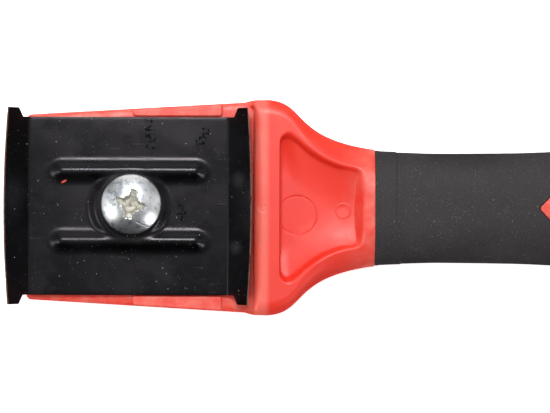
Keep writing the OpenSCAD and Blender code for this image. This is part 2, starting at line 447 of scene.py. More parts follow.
def head_and_neck(x, y, z):
    """The head's seat, the wall behind it, and the shoulder and neck."""
    side = np.abs(y) - half_width(x)
    wall = both(SHOULDER_X - x, z - top_height(x), 2.9 - 1.2 * smooth((np.abs(y) - 26) / 7))
    web = 0.5 + 3.2 * smooth((np.abs(y) - 31.6) / 1.6)
    top = either(np.maximum(z - SEAT_Z, x - 92), wall, web)
    high, soft = smooth((x - 79.5) / 4), smooth((x - 90) / 25)
    rise = corner(side, top, 2.6 + 2.2 * high + 9 * soft, 1.3 + 2.9 * high + 6 * soft)
    back = NECK_BACK * smooth((x - 90) / 29)
    under = corner(side, back - z, 3.5 + 9 * soft, 3.5 + 6 * soft)
    body = both(np.maximum(rise, under), HEAD_X - x, 1.5)
    return both(body, x - GRIP_X0, 0.15)


def add_seat_parts(body, x, y, z):
    """The ledges beside the blade, and the pad that fills its pressed H."""
    side = np.abs(y) - half_width(x)
    inner = BODY_HALF + LEDGE_GAP - np.sign(y) * (y - BLADE_Y)
    ledge = both(both(np.maximum(side + 0.35, inner), slab(x, 41.2, 70), 0.8), z - SEAT_Z - 1, 0.35)
    body = either(body, np.maximum(ledge, SEAT_Z - 2 - z), 0.25)
    plan = np.minimum(panel_distance(x, y), rib_distance(x, y) - BEAD_HALF_W)
    pad = both(plan + 2.6, z - SEAT_Z - 1.5, 0.8)
    return np.minimum(body, np.maximum(pad, SEAT_Z - 3 - z))


def add_handle_parts(body, x, y, z):
    """The tang, the butt, and the diamond that shows through the rubber."""
    bar = np.maximum(tang(y, z) + 0.05, slab(x, GRIP_X0 - 3, GRIP_X1 + 2))
    body = np.minimum(body, bar)
    plan = np.hypot(x - BUTT_X + BUTT_R, y) - BUTT_R
    butt = both(plan, np.abs(z - TANG_Z) - BUTT_HALF_T, 2.2)
    body = np.minimum(body, np.maximum(butt, GRIP_X1 - 1.5 - x))
    boss = both(diamond(x, y), grip_form(x, y, z) + 0.12, 0.35)
    return np.minimum(body, np.maximum(boss, TANG_Z - z))


def core(x, y, z):
    """The whole red moulding, with its scoop, gate mark and holes cut."""
    body = head_and_neck(x, y, z)
    body = add_seat_parts(body, x, y, z)
    body = add_handle_parts(body, x, y, z)
    body = without(body, scoop(x, y, z), 0.3 + 0.55 * smooth((x - 89.2) / 3))
    gate = np.hypot(x - GATE_X, y - GATE_Y)
    body = body + 0.10 * smooth((GATE_R - gate) / 0.2) * (z > 18)
    shaft = np.hypot(x - SCREW_X, y - SCREW_Y)
    body = without(body, shaft - BORE_R, 0.3)
    pocket = np.maximum(hexagon(x, y, NUT_ACROSS + 0.3), z - NUT_HI[2])
    body = without(body, pocket, 0.4)
    return without(body, np.hypot(x - HANG_X, y) - HANG_R, 0.7)


def tang(y, z):
    """The bar that runs through the rubber."""
    return both(np.abs(y) - TANG_HALF, np.abs(z - TANG_Z) - BUTT_HALF_T, 4)


def diamond(x, y):
    """The diamond's plan, with slightly rounded corners."""
    u, v = np.abs(x - DIAMOND_X - DIAMOND_R), np.abs(y)
    edge = (u / DIAMOND_R + v / (DIAMOND_R + 0.4) - 1) * DIAMOND_R / math.sqrt(2)
    return both(both(edge, u - DIAMOND_R + 0.25, 0.5), v - DIAMOND_R - 0.15, 0.5)


def build_core(material):
    xs = spans(
        (5, 9, 0.4), (9, 32, 1.2), (32, 50, 0.5), (50, 67, 1.2), (67, 79, 0.5), (79, 87, 0.26),
        (87, 103, 0.22), (103, 121, 0.3), (121, 168, 2.4), (168, 195, 0.3), (195, 229, 2.4),
        (229, 246.5, 0.45),
    )
    half = spans((0, 8, 0.24), (8, 26, 0.36), (26, 36, 0.42))
    ys = np.concatenate([-half[:0:-1], half])
    zs = spans((-0.9, 14.1, 0.5), (14.1, 25.2, 0.3), (25.2, 30, 0.5))
    return solid(
        "handle_core_moulding", core, xs, ys, zs, "handle", "handle_core", material
    )


# ---- Grip ----

def grip_form(x, y, z):
    """The rubber's outer skin, with its thicker band at the front."""
    half, low, high = (spline(x, GRIP_ROWS[:, 0], GRIP_ROWS[:, k]) for k in (1, 2, 3))
    line = 126.3 + 1.7 * smooth((-2.5 - y) / 9)
    band = 0.16 * (1 - smooth((x - line) / 0.3)) - 0.1 * np.exp(-((x - line - 0.1) / 0.3) ** 2)
    band = band + 0.1 * (1 - smooth((x - GRIP_X0 - 0.9) / 0.35))
    half, high, low = half + band - 0.08, high + band - 0.08, low - band + 0.08
    mid, rise = (low + high) / 2, (high - low) / 2
    across, upward = np.abs(y / half) ** GRIP_POWER, np.abs((z - mid) / rise) ** GRIP_POWER
    ring = (across + upward) ** (1 / GRIP_POWER)
    return (ring - 1) * np.minimum(half, rise)


def grip(x, y, z):
    """The rubber, with the core's tang and diamond cut out of it."""
    skin = grip_form(x, y, z)
    skin = both(skin, GRIP_X0 - x, 0.25)
    skin = both(skin, x - GRIP_X1, 3.0)
    skin = np.maximum(skin, -tang(y, z))
    window = np.maximum(diamond(x, y) - 0.08, TANG_Z - z)
    return without(skin, window, 0.3)


def build_grip(material):
    xs = spans(
        (GRIP_X0 - 1, 121.5, 0.25), (121.5, 125.5, 0.7), (125.5, 129, 0.25), (129, 170, 1.1),
        (170, 193, 0.33), (193, 226, 1.1), (226, 233.5, 0.5),
    )
    half = spans((0, 11, 0.4), (11, 20.5, 0.5))
    ys = np.concatenate([-half[:0:-1], half])
    zs = spans((-1, 30, 0.5))
    return solid("grip_rubber", grip, xs, ys, zs, "handle", "grip", material)


# ---- Blade ----

def flange_rows():
    """Rows down one flange, from its tip to the end of its bend.

    Each row has its place, its upward direction, the thickness there, and its share of the flange.
    """
    along = np.array([math.cos(FLANGE), -math.sin(FLANGE)])
    up = np.array([math.sin(FLANGE), math.cos(FLANGE)])
    run = (TIP_Z - SEAT_Z - BLADE_T) / math.tan(FLANGE)
    bend_x = run + TIP_T * math.sin(FLANGE)
    setback = BEND_R * math.tan(FLANGE / 2)
    length = run / math.cos(FLANGE) - setback
    rows = []
    for s in np.concatenate([[0, 0.1, 0.3, 0.6], np.linspace(1, length, 24)]):
        thick = TIP_T + (BLADE_T - TIP_T) * min(1, s / GROUND)
        rows.append((np.array([TIP_T * math.sin(FLANGE), TIP_Z]) + s * along, up, thick, s / length))
    centre = np.array([bend_x + setback, SEAT_Z + BLADE_T + BEND_R])
    for turn in np.linspace(FLANGE, 0, 7)[1:]:
        up = np.array([math.sin(turn), math.cos(turn)])
        rows.append((centre - BEND_R * up, up, BLADE_T, 1))
    return rows


def mirrored(rows):
    """The same rows for the flange at the other end."""
    return [
        (np.array([BLADE_SPAN - place[0], place[1]]), np.array([-up[0], up[1]]), thick, share)
        for place, up, thick, share in rows[::-1]
    ]


def cross_section(row, lines, drops, nicks):
    """The upper and lower points of one row across the blade."""
    place, up, thick, share = row
    rear = place[0] > BLADE_X
    edge = min(place[0], BLADE_SPAN - place[0])
    narrowed = np.clip((EAR_TO - edge) / (EAR_TO - EAR_FROM), 0, 1)
    ear = BODY_HALF + (EDGE_HALF - BODY_HALF) * narrowed
    y = np.concatenate([[-ear, -ear + 0.07], lines * (ear - 0.25), [ear - 0.07, ear]])
    back = 0
    if share < 1:
        # the cutting edges curve back at their ends, and are nicked
        back = (1 - share) * (EDGE_R - np.sqrt(EDGE_R**2 - y**2)) / math.cos(FLANGE)
        back = back + max(0, 1 - share * 8) * nicks[rear]
    x = place[0] + back * (-1 if rear else 1) * math.cos(FLANGE)
    z = place[1] - back * math.sin(FLANGE)
    lift = BEAD_H * bead_share(place[0], y + BLADE_Y)
    low = thick - drops * min(1, thick)
    skins = (drops, low)
    return [np.stack([x - up[0] * d, y + BLADE_Y, z - up[1] * d + lift], 1) for d in skins]


def build_blade(steel, ground):
    """The blade: a bent and pressed sheet on a grid of rows along it and lines across it."""
    rng = np.random.default_rng(4)
    end = flange_rows()
    flat_x = end[-1][0][0]
    flat = spans((flat_x, 13, 0.8), (13, 67, 0.33), (67, BLADE_SPAN - flat_x, 0.8))[1:-1]
    middle = [(np.array([x, SEAT_Z + BLADE_T]), np.array([0, 1]), BLADE_T, 1) for x in flat]
    rows = end + middle + mirrored(end)
    half = spans((0, 17.5, 0.34), (17.5, 28, 0.9))
    lines = np.concatenate([-half[:0:-1], half]) / 28
    drops = np.concatenate([[0.12, 0.03, 0], np.zeros(len(lines) - 2), [0, 0.03, 0.12]])
    nicks = {0: rough_line(rng, len(drops)), 1: rough_line(rng, len(drops))}
    upper, lower = zip(*(cross_section(row, lines, drops, nicks) for row in rows))
    points = np.concatenate([np.array(upper).reshape(-1, 3), np.array(lower).reshape(-1, 3)])
    faces, row = sheet_faces(len(rows), len(drops))
    ends = np.minimum(row, len(rows) - 2 - row)
    under = np.arange(len(faces)) >= (len(rows) - 1) * (len(drops) - 1)
    bare = np.where((ends < 2) | (under & (ends < GROUND_ROWS)), 1, 0)
    piece = make("blade_sheet", points, faces, "blade", "blade", [steel, ground], bare)
    drill(piece, BLADE_X, BLADE_Y, 5.5)
    return piece


def sheet_faces(rows, lines):
    """Faces of a closed sheet with an upper and a lower grid, and the row each face is in."""
    i, j = np.meshgrid(np.arange(rows - 1), np.arange(lines - 1), indexing="ij")
    a = (i * lines + j).ravel()
    low = rows * lines
    top = np.stack([a, a + lines, a + lines + 1, a + 1], 1)
    bottom = top[:, ::-1] + low
    r = np.arange(rows - 1) * lines
    left = np.stack([r, r + low, r + lines + low, r + lines], 1)
    right = left[:, ::-1] + lines - 1
    c = np.arange(lines - 1)
    front = np.stack([c, c + 1, c + 1 + low, c + low], 1)
    back = front[:, ::-1] + (rows - 1) * lines
    faces = np.concatenate([top, bottom, left, right, front, back])
    side = np.arange(rows - 1)
    first, last = np.zeros(lines - 1, int), np.full(lines - 1, rows - 2)
    return faces, np.concatenate([i.ravel(), i.ravel(), side, side, first, last])


def rough_line(rng, count, size=0.035):
    """How far a cutting edge is worn back along its length: a wandering line with a few nicks."""
    t = np.linspace(0, 1, count)
    line = sum(np.sin(t * f + rng.uniform(0, 6.3)) / f**0.4 for f in (23, 47, 91, 170))
    nicks = (rng.random(count) > 0.94) * rng.random(count) * 3
    return size * (1 + line + nicks)


def drill(piece, x, y, r):
    """Cuts a round hole right through the blade."""
    bpy.ops.mesh.primitive_cylinder_add(
        vertices=96, radius=r / 1000, depth=0.04, location=((x + X0) / 1000, y / 1000, SEAT_Z / 1000)
    )
    tool = bpy.context.object
    cut = piece.modifiers.new("hole", "BOOLEAN")
    cut.operation = "DIFFERENCE"
    cut.object = tool
    cut.solver = "EXACT"
    bpy.context.view_layer.objects.active = piece
    bpy.ops.object.modifier_apply(modifier=cut.name)
    bpy.data.objects.remove(tool)


# ---- Screw, washer and nut ----

def recess(u, v, z, burr):
    """The cross recess: four tapering arms and a cone in the middle, chewed by use."""
    turned = math.radians(14)
    a = u * math.cos(turned) - v * math.sin(turned)
    b = u * math.sin(turned) + v * math.cos(turned)
    deep = HEAD_TOP - z
    arms = []
    for p, q in ((a, b), (b, a)):
        width = 1.1 + burr - 0.10 * deep
        reach = 5.25 + 1.8 * burr - 0.5 * deep
        arms.append(both(np.abs(q) - width, np.abs(p) - reach, 0.35))
    middle = np.hypot(u, v) - (2.95 + burr - 0.3 * deep)
    cross = either(either(arms[0], arms[1], 0.5), middle, 0.6)
    floor = HEAD_TOP - 2.9 + 0.32 * np.hypot(u, v)
    floor = floor + 0.5 * np.exp(-(np.hypot(u, v) / 0.55) ** 2)
    return both(cross, floor - z, 0.3)


def screw(x, y, z):
    """The domed head with its recess and the threaded shank."""
    u, v = x - SCREW_X, y - SCREW_Y
    r = np.hypot(u, v)
    dome = np.sqrt(r * r + (z - HEAD_TOP + DOME_R) ** 2) - DOME_R
    head = both(both(dome, r - HEAD_R, 0.35), HEAD_Z - z, 0.15)
    way = np.arctan2(v, u)
    burr = 0.10 * np.sin(5 * way + 1) + 0.07 * np.sin(11 * way + 2.2 * u)
    burr = burr + 0.05 * np.sin(9 * u + 4) * np.sin(8 * v)
    cut = recess(u, v, z, burr)
    lip = 0.16 * np.exp(-((cut - 0.16) / 0.16) ** 2) * (0.5 + 0.5 * np.sin(7 * way + 1.3))
    head = without(head - lip * (z > HEAD_TOP - 1.6), cut, 0.12)
    shank = thread(x, y, z, THREAD_R - 0.05, 0.66)
    shank = np.maximum(np.maximum(shank, SHANK_END - z), z - HEAD_Z - 1)
    shank = np.maximum(shank, (r - 3.95 + (SHANK_END + 1.0 - z)) * 0.7)
    return np.minimum(head, shank)


def build_screw(material):
    recess_half, head_half = 4.95, 9.9
    side = spans((recess_half, head_half, 0.2))
    xs = np.concatenate([-side[::-1], spans((-recess_half, recess_half, 0.13))[1:-1], side])
    zs = spans((SHANK_END - 0.4, HEAD_Z - 0.3, 0.155), (HEAD_Z - 0.3, HEAD_TOP + 0.5, 0.115))
    return solid(
        "blade_screw_zinc", screw, xs + SCREW_X, xs + SCREW_Y, zs,
        "screw", "blade_screw", material,
    )


def washer(x, y, z):
    """A split spring washer: a square wire turned into a ring, with a slanted gap."""
    u, v = x - SCREW_X, y - SCREW_Y
    r = np.hypot(u, v)
    outer = (WASHER_HI[0] - WASHER_LO[0]) / 2
    low, high = WASHER_LO[2], WASHER_HI[2]
    ring = both(slab(r, THREAD_R + 0.3, outer), slab(z, low, high), 0.2)
    turn = math.radians(200)
    along = u * math.cos(turn) + v * math.sin(turn)
    across = -u * math.sin(turn) + v * math.cos(turn) + 0.35 * (z - (low + high) / 2)
    gap = np.maximum(np.abs(across) - 0.6, -along)
    return without(ring, gap, 0.15)


def build_washer(material):
    xs = spans((-7.8, 7.8, 0.15))
    zs = spans((WASHER_LO[2] - 0.4, WASHER_HI[2] + 0.4, 0.14))
    return solid(
        "lock_washer_zinc", washer, xs + SCREW_X, xs + SCREW_Y, zs,
        "blade", "lock_washer", material,
    )


def nut(x, y, z):
    """The hex nut, with its corners turned down and its bore threaded."""
    low, high = NUT_LO[2], NUT_HI[2]
    r = np.hypot(x - SCREW_X, y - SCREW_Y)
    body = both(hexagon(x, y, NUT_ACROSS), slab(z, low, high), 0.12)
    for end in (z - high, low - z):
        body = np.maximum(body, (r - 6.6 + (end + 0.5) * 1.7) * 0.5)
    mouth = r - 4.4 + np.minimum(z - low, high - z) * 1.4
    return without(body, np.minimum(thread(x, y, z, THREAD_R + 0.03, 0.62), mouth), 0.1)


def build_nut(material):
    xs = spans((-7.9, 7.9, 0.17))
    zs = spans((NUT_LO[2] - 0.4, NUT_HI[2] + 0.4, 0.155))
    return solid(
        "hex_nut_zinc", nut, xs + SCREW_X, xs + SCREW_Y, zs,
        "handle", "hex_nut", material,
    )


# ---- Materials ----

class Nodes:
    """Short ways to add shader nodes to one material."""

    def __init__(self, name):
        self.material = bpy.data.materials.new(name)
        self.material.use_nodes = True
        self.tree = self.material.node_tree
        self.shader = self.tree.nodes["Principled BSDF"]
        self.place = self.add("ShaderNodeTexCoord").outputs["Object"]

    def add(self, kind, **settings):
        node = self.tree.nodes.new(kind)
        for key, value in settings.items():
            setattr(node, key, value)
        return node

    def feed(self, socket, value):
        if isinstance(value, bpy.types.NodeSocket):
            self.tree.links.new(value, socket)
        else:
            socket.default_value = value

    def set(self, **values):
        for key, value in values.items():
            self.feed(self.shader.inputs[key.replace("_", " ")], value)

    def stretch(self, scale, turn=0.0, shift=(0, 0, 0)):
        """The object's own place, scaled along each axis and turned about Z."""
        node = self.add("ShaderNodeMapping")
        self.feed(node.inputs["Vector"], self.place)
        node.inputs["Scale"].default_value = scale
        node.inputs["Rotation"].default_value = (0, 0, turn)
        node.inputs["Location"].default_value = shift
        return node.outputs[0]

    def noise(self, scale, detail=3.0, rough=0.5, vector=None, warp=0.0):
        node = self.add("ShaderNodeTexNoise")
        self.feed(node.inputs["Vector"], vector or self.place)
        node.inputs["Scale"].default_value = scale
        node.inputs["Detail"].default_value = detail
        node.inputs["Roughness"].default_value = rough
        node.inputs["Distortion"].default_value = warp
        return node.outputs["Fac"]

    def dots(self, scale, size, flat=False):
        """Scattered round dots, size in cells of 1/scale metres; flat puts them all on the XY plane."""
        node = self.add("ShaderNodeTexVoronoi", voronoi_dimensions="2D" if flat else "3D")
        self.feed(node.inputs["Vector"], self.place)
        node.inputs["Scale"].default_value = scale
        return self.ramp(node.outputs["Distance"], 0.3 * size, size, 1.0, 0.0)

    def rings(self, scale, warp, shift):
        """Fine curved lines, from a gently warped ring pattern about a shifted centre."""
        node = self.add("ShaderNodeTexWave", wave_type="RINGS", rings_direction="Z")
        self.feed(node.inputs["Vector"], self.stretch((1, 1, 1), 0.0, shift))
        node.inputs["Scale"].default_value = scale
        node.inputs["Distortion"].default_value = warp
        node.inputs["Detail Scale"].default_value = 0.16
        return node.outputs["Fac"]

    def patch(self, x, y, half_x, half_y, turn=0.0):
        """1 at a place on the head, in mm, falling to 0 at the edge of an ellipse about it."""
        node = self.add("ShaderNodeMapping", vector_type="TEXTURE")
        self.feed(node.inputs["Vector"], self.place)
        node.inputs["Location"].default_value = ((x + X0) / 1000, y / 1000, SEAT_Z / 1000)
        node.inputs["Rotation"].default_value = (0, 0, turn)
        node.inputs["Scale"].default_value = (half_x / 1000, half_y / 1000, 0.1)
        ball = self.add("ShaderNodeTexGradient", gradient_type="SPHERICAL")
        self.feed(ball.inputs["Vector"], node.outputs[0])
        return ball.outputs["Fac"]

    def axis(self, name):
        """One of the object's own coordinates, in metres."""
        node = self.add("ShaderNodeSeparateXYZ")
        self.feed(node.inputs[0], self.place)
        return node.outputs[name]

    def between(self, value, low, high, soft):
        """1 between low and high, falling to 0 outside them."""
        rise = self.ramp(value, low - soft, low + soft)
        fall = self.ramp(value, high - soft, high + soft, 1.0, 0.0)
        return self.math("MULTIPLY", rise, fall)

    def ramp(self, value, low, high, to_low=0.0, to_high=1.0):
        """A smooth change from to_low to to_high as the value goes from low to high."""
        node = self.add("ShaderNodeMapRange", interpolation_type="SMOOTHSTEP")
        self.feed(node.inputs["Value"], value)
        node.inputs["From Min"].default_value = low
        node.inputs["From Max"].default_value = high
        node.inputs["To Min"].default_value = to_low
        node.inputs["To Max"].default_value = to_high
        return node.outputs["Result"]

    def math(self, operation, a, b):
        node = self.add("ShaderNodeMath", operation=operation)
        self.feed(node.inputs[0], a)
        self.feed(node.inputs[1], b)
        return node.outputs[0]

    def mix(self, share, a, b):
        node = self.add("ShaderNodeMix", data_type="RGBA")
        self.feed(node.inputs[0], share)
        for socket, colour in ((node.inputs[6], a), (node.inputs[7], b)):
            self.feed(socket, colour if isinstance(colour, bpy.types.NodeSocket) else (*colour, 1))
        return node.outputs[2]

    def bump(self, height, distance, strength=1.0, normal=None):
        node = self.add("ShaderNodeBump")
        self.feed(node.inputs["Height"], height)
        node.inputs["Distance"].default_value = distance
        node.inputs["Strength"].default_value = strength
        if normal is not None:
            self.feed(node.inputs["Normal"], normal)
        return node.outputs[0]


def red_plastic():
    n = Nodes("red_polypropylene")
    flow = n.noise(38, 3, 0.5, n.stretch((1, 1.8, 1)), warp=1.2)
    haze = n.noise(160, 4, 0.6)
    colour = n.mix(n.ramp(flow, 0.35, 0.7), (0.80, 0.030, 0.012), (0.84, 0.038, 0.016))
    # Lighter pink: mostly painted highlights and painted light, with a few real scuff specks.
    colour = n.mix(red_scuffs_and_painted_highlights(n), colour, (0.90, 0.24, 0.185))
    n.set(Base_Color=colour, Roughness=n.ramp(haze, 0.3, 0.7, 0.42, 0.54))
    n.shader.inputs["IOR"].default_value = 1.6
    n.shader.inputs["Subsurface Weight"].default_value = 0.6
    n.shader.inputs["Subsurface Radius"].default_value = (1.0, 0.22, 0.13)
    n.shader.inputs["Subsurface Scale"].default_value = 0.0034
    fine = n.noise(2600, 2, 0.5)
    n.set(Normal=n.bump(fine, 0.00003, 0.5, n.bump(flow, 0.00015, 0.3)))
    return n.material


def red_scuffs_and_painted_highlights(n):
    """Lighter pink on the red plastic, broken up by noise and specks: a painted highlight on the rails
    (stronger higher up), on the neck and on the front of the diamond, and painted light on the
    shoulder's front edge, where the real edge sits in shade; a few scattered specks elsewhere are real
    scuffs from handling.
    """
    x, y = n.axis("X"), n.math("ABSOLUTE", n.axis("Y"), 0)
    # Painted highlight on the rails, stronger on their upper parts.
    rails = n.math("MULTIPLY", n.between(y, 0.0285, 0.05, 0.0012), n.between(x, -0.2, -0.0425, 0.001))
    rails = n.math("MULTIPLY", rails, n.ramp(n.axis("Z"), 0.011, 0.0145, 0.25, 1.0))
    # Painted highlight on the neck and on the front of the diamond.
    neck = n.math("MAXIMUM", n.between(x, -0.009, 0.02, 0.006), n.between(x, 0.039, 0.06, 0.001))
    marks = n.math("MAXIMUM", rails, n.math("MULTIPLY", neck, 0.9))
    specks = n.dots(330, 0.12)
    worn = n.ramp(n.noise(210, 4, 0.65), 0.3, 0.68, 0.12, 0.62)
    marks = n.math("MULTIPLY", marks, n.math("ADD", worn, n.math("MULTIPLY", specks, 0.4)))
    # A few real scuff specks, scattered anywhere.
    few = n.math("MULTIPLY", specks, n.ramp(n.noise(150, 2, 0.5), 0.62, 0.7, 0.0, 0.5))
    haze = n.ramp(n.noise(90, 3, 0.5), 0.3, 0.7, 0.4, 0.6)
    # Painted light on the shoulder's front edge.
    front = n.math("MULTIPLY", n.between(x, -0.0423, -0.0375, 0.001), haze)
    return n.math("MAXIMUM", n.math("MAXIMUM", marks, few), front)


def black_rubber():
    n = Nodes("black_rubber")
    cloud = n.noise(45, 4, 0.55)
    grain = n.noise(1900, 3, 0.6)
    patch = n.ramp(n.noise(300, 2, 0.5), 0.46, 0.62)
    fine_patch = n.ramp(n.noise(210, 2, 0.5), 0.42, 0.7, 0.0, 0.7)
    fine_dust = n.math("MULTIPLY", n.dots(1100, 0.2), fine_patch)
    dust = n.math("MAXIMUM", n.math("MULTIPLY", n.dots(430, 0.1), patch), fine_dust)
    colour = n.mix(n.ramp(cloud, 0.35, 0.7), (0.022, 0.019, 0.022), (0.034, 0.030, 0.032))
    colour = n.mix(n.ramp(grain, 0.5, 0.75, 0.0, 0.45), colour, (0.075, 0.068, 0.060))
    colour = n.mix(n.math("MULTIPLY", dust, 0.7), colour, (0.34, 0.31, 0.24))
    n.set(Base_Color=colour, Roughness=n.ramp(cloud, 0.3, 0.7, 0.66, 0.8))
    n.shader.inputs["Specular IOR Level"].default_value = 0.4
    n.set(Normal=n.bump(grain, 0.00008, 0.7))
    return n.material


def black_steel():
    n = Nodes("black_coated_steel")
    cloud = n.noise(55, 5, 0.6)
    grain = n.noise(2600, 2, 0.7)
    dust = blade_dust(n)
    rubbed = blade_rubs(n)
    chips = blade_chips(n)
    colour = n.mix(n.ramp(cloud, 0.35, 0.7), (0.0006, 0.0006, 0.0008), (0.0016, 0.0015, 0.0020))
    colour = n.mix(n.math("MULTIPLY", rubbed, 0.02), colour, (0.25, 0.24, 0.26))
    smudges = n.math("MAXIMUM", n.patch(75.5, 8.9, 2.6, 3.4), n.patch(74.7, -12.8, 2.4, 2.8))
    colour = n.mix(n.math("MULTIPLY", smudges, 0.09), colour, (0.25, 0.25, 0.28))
    colour = n.mix(chips, colour, (0.006, 0.006, 0.007))
    colour = n.mix(n.math("MULTIPLY", dust, 0.75), colour, (0.55, 0.53, 0.52))
    colour = n.mix(n.ramp(n.patch(18.9, 8.3, 1.3, 0.45, 0.45), 0.1, 0.4), colour, (0.72, 0.10, 0.06))
    colour = n.mix(bare_rim(n), colour, (0.20, 0.088, 0.045))
    rough = n.math("ADD", n.ramp(cloud, 0.3, 0.7, 0.24, 0.31), n.math("MULTIPLY", rubbed, 0.12))
    rough = n.math("ADD", rough, n.math("MULTIPLY", dust, 0.3))
    n.set(Base_Color=colour, Roughness=rough, Metallic=chips)
    n.shader.inputs["Specular IOR Level"].default_value = 0.33
    n.shader.inputs["Specular Tint"].default_value = (1.0, 0.94, 1.03, 1)
    waves = n.bump(n.noise(260, 3, 0.6), 0.0001, 0.35, n.bump(cloud, 0.0002, 0.25))
    fine = n.bump(grain, 0.00004, 0.15, n.bump(rubbed, 0.00005, 0.4, waves))
    n.set(Normal=n.bump(n.math("SUBTRACT", 1.0, chips), 0.0006, 1.0, fine))
    return n.material


def blade_dust(n):
    """Small crisp dots of dust, a few of them large."""
    few = n.math("MULTIPLY", n.dots(170, 0.032, True), n.ramp(n.noise(260, 2, 0.5), 0.5, 0.6))
    thick = n.ramp(n.noise(190, 2, 0.5), 0.44, 0.72, 0.0, 0.6)
    many = n.math("MULTIPLY", n.dots(420, 0.055, True), thick)
    return n.math("MAXIMUM", few, many)


def blade_rubs(n):
    """Fine rub marks: faint arcs in some places and short straight strokes in others."""
    some, fewer = n.ramp(n.noise(75, 2, 0.5), 0.48, 0.62), n.ramp(n.noise(90, 2, 0.5), 0.52, 0.66)
    near_end = n.math("MULTIPLY", n.rings(430, 7, (0.08, 0.02, 0)), some)
    middle = n.math("MULTIPLY", n.rings(520, 9, (0.02, -0.05, 0)), fewer)
    out = n.math("ABSOLUTE", n.math("SUBTRACT", n.axis("X"), (X0 + BLADE_X) / 1000), 0)
    flat = n.ramp(out, 0.029, 0.034, 0.55, 0.0)
    arcs = n.math("MULTIPLY", n.math("MAXIMUM", near_end, middle), flat)
    strokes = n.ramp(n.noise(1000, 3, 0.6, n.stretch((0.10, 1, 1), 0.9)), 0.64, 0.76, 0.0, 0.7)
    crossed = n.ramp(n.noise(1200, 3, 0.6, n.stretch((1, 0.09, 1), 0.35)), 0.64, 0.76, 0.0, 0.7)
    return n.math("MAXIMUM", arcs, n.math("MAXIMUM", strokes, crossed))


def blade_chips(n):
    """Three places where the coating has come away in dark specks."""
    places = [(46.4, 23.5, 2.2, 8.0, 0.1), (63.6, 22.8, 2.0, 4.0, -0.5), (56.9, -1.5, 1.6, 3.6, 0.35)]
    near = n.patch(*places[0])
    for place in places[1:]:
        near = n.math("MAXIMUM", near, n.patch(*place))
    specks = n.ramp(n.math("ADD", n.noise(1300, 1, 0.4), n.math("MULTIPLY", near, 0.14)), 0.64, 0.66)
    return n.math("MULTIPLY", specks, n.ramp(near, 0.05, 0.15))


def bare_rim(n):
    """Where the coating has worn off along the cutting edges, most of all the front one."""
    middle = (X0 + BLADE_X) / 1000
    x = n.math("SUBTRACT", n.axis("X"), middle)
    side = n.math("SUBTRACT", n.axis("Y"), BLADE_Y / 1000)
    curve = n.math("MULTIPLY", n.math("MULTIPLY", side, side), 0.5 / (EDGE_R / 1000))
    ragged = n.math("MULTIPLY", n.noise(700, 4, 0.65), 0.0008)
    reach = n.math("ADD", n.math("ADD", n.math("ABSOLUTE", x, 0), curve), ragged)
    half = BLADE_X / 1000
    rim = n.ramp(reach, half - 0.0002, half + 0.00015)
    return n.math("MULTIPLY", rim, n.ramp(x, -0.01, 0.01, 0.9, 0.25))


def ground_steel():
    n = Nodes("ground_edge_steel")
    lines = n.noise(1400, 3, 0.6, n.stretch((1, 0.2, 1)))
    rust = n.ramp(n.noise(260, 4, 0.6), 0.46, 0.66)
    colour = n.mix(rust, (0.24, 0.19, 0.16), (0.13, 0.052, 0.026))
    n.set(Base_Color=colour, Metallic=0.7, Roughness=n.ramp(lines, 0.3, 0.7, 0.35, 0.55))
    n.set(Normal=n.bump(lines, 0.00004, 0.5))
    return n.material


def zinc(name, tone, used):
    """Zinc plate: clean, or blotched, scratched and dirty on the screw that has been used."""
    n = Nodes(name)
    smear = n.noise(260, 4, 0.6, warp=0.6)
    fine = n.noise(1500, 2, 0.5)
    dull, bright = tuple(tone * c for c in (0.80, 0.84, 0.88)), (tone, tone, tone * 0.99)
    colour = n.mix(n.ramp(smear, 0.35, 0.65), dull, bright)
    dent = n.bump(smear, 0.00003, 0.06)
    if used:
        corner = n.patch(SCREW_X - 3.4, 4.6, 6.5, 4.5, 0.7)
        blots = n.math("ADD", n.noise(700, 4, 0.65), n.math("MULTIPLY", corner, 0.17))
        blots = n.ramp(blots, 0.53, 0.67, 0.0, 0.75)
        colour = n.mix(blots, colour, (0.34, 0.39, 0.46))
        score = n.ramp(n.patch(SCREW_X + 3.7, -5.5, 2.7, 0.34, -0.42), 0.0, 0.5)
        dent = n.bump(n.math("SUBTRACT", 1.0, score), 0.0002, 0.8, dent)
        held = n.add("ShaderNodeAttribute", attribute_name="grime").outputs["Fac"]
        dirt = n.math("MULTIPLY", held, n.ramp(n.noise(900, 3, 0.6), 0.25, 0.6, 0.6, 1.0))
        soil = n.mix(n.ramp(n.noise(620, 3, 0.6), 0.4, 0.62), (0.30, 0.285, 0.22), (0.60, 0.58, 0.49))
        colour = n.mix(dirt, colour, soil)
        rough = n.math("ADD", n.ramp(fine, 0.3, 0.7, 0.29, 0.35), n.math("MULTIPLY", dirt, 0.3))
        n.set(Metallic=n.ramp(dirt, 0.0, 1.0, 1.0, 0.15), Roughness=rough)
    else:
        n.set(Metallic=1.0, Roughness=n.ramp(fine, 0.3, 0.7, 0.3, 0.42))
    n.set(Base_Color=colour, Normal=dent)
    return n.material


def add_grime(piece):
    """Marks how much dirt each point of the screw holds: most of it in the recess."""
    mesh = piece.data
    x, y, z = get_points(mesh).T
    r = np.hypot(x - SCREW_X, y - SCREW_Y)
    skin = HEAD_TOP - DOME_R + np.sqrt(np.maximum(DOME_R**2 - r * r, 0))
    value = smooth((skin - z - 0.15) / 0.5) * (r < 6) * (z > HEAD_Z + 0.5)
    mark = mesh.attributes.new("grime", "FLOAT", "POINT")
    mark.data.foreach_set("value", value.astype(np.float32))


# ---- Stage ----

# How bright the white studio looks at each height above the horizon (0) up to straight overhead (1)
CEILING = [(0.0, 0.02), (0.3, 0.22), (0.65, 0.58), (0.93, 0.58), (0.985, 0.36), (1.0, 0.30)]
# ... and how much of that is left on the near side (0) and on the far side (1)
SIDES = [(0.0, 0.12), (0.15, 0.15), (0.5, 0.8), (0.6, 1.0), (1.0, 1.0)]
